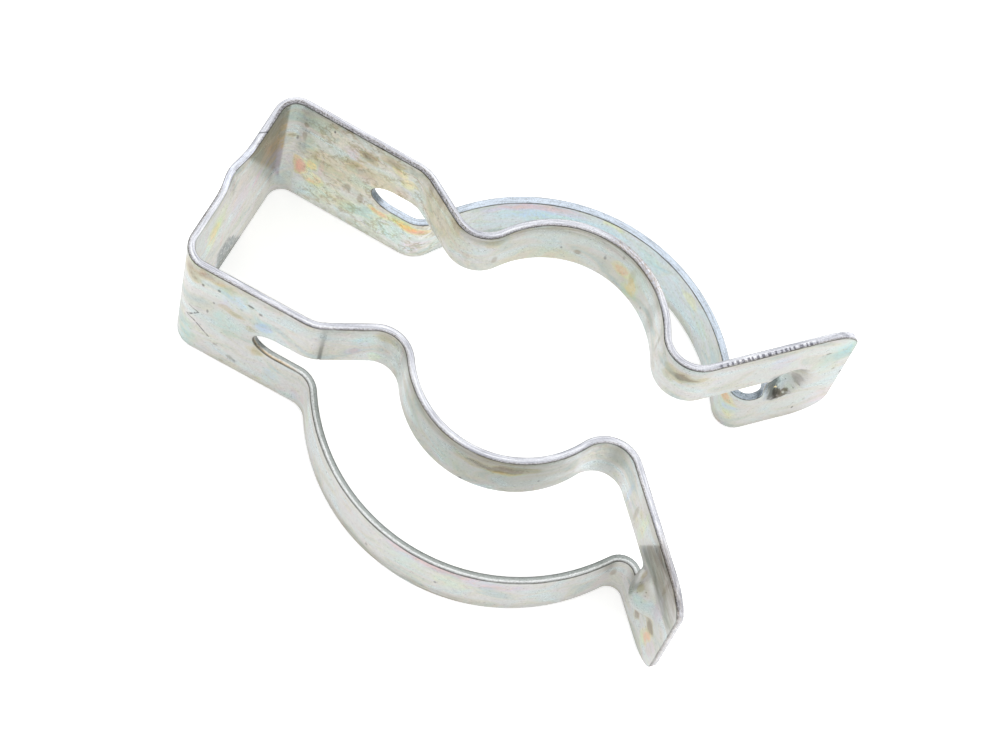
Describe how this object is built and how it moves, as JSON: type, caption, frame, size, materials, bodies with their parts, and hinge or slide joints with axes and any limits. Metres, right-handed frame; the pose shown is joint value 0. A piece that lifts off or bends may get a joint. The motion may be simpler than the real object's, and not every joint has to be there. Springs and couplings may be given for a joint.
{
  "type": "pipe clip",
  "caption": "Open pipe clip folded from one slotted steel strip: short web, two arms, small and large curved pipe seats, flared dimpled ears.",
  "frame": {"origin": "centre of the web's flat back", "axes": "+X from the web along the arms to the ears; +Z along the pipe and across the strip, upper straps (small seats) on +Z; arm A on +Y, arm B on -Y"},
  "size_m": [0.0656, 0.0453, 0.025],
  "materials": {
    "zinc_plate": "bright zinc plate with faint iridescent passivation"
  },
  "bodies": {
    "root": {"pipe_clip": "zinc_plate"}
  },
  "joints": []
}
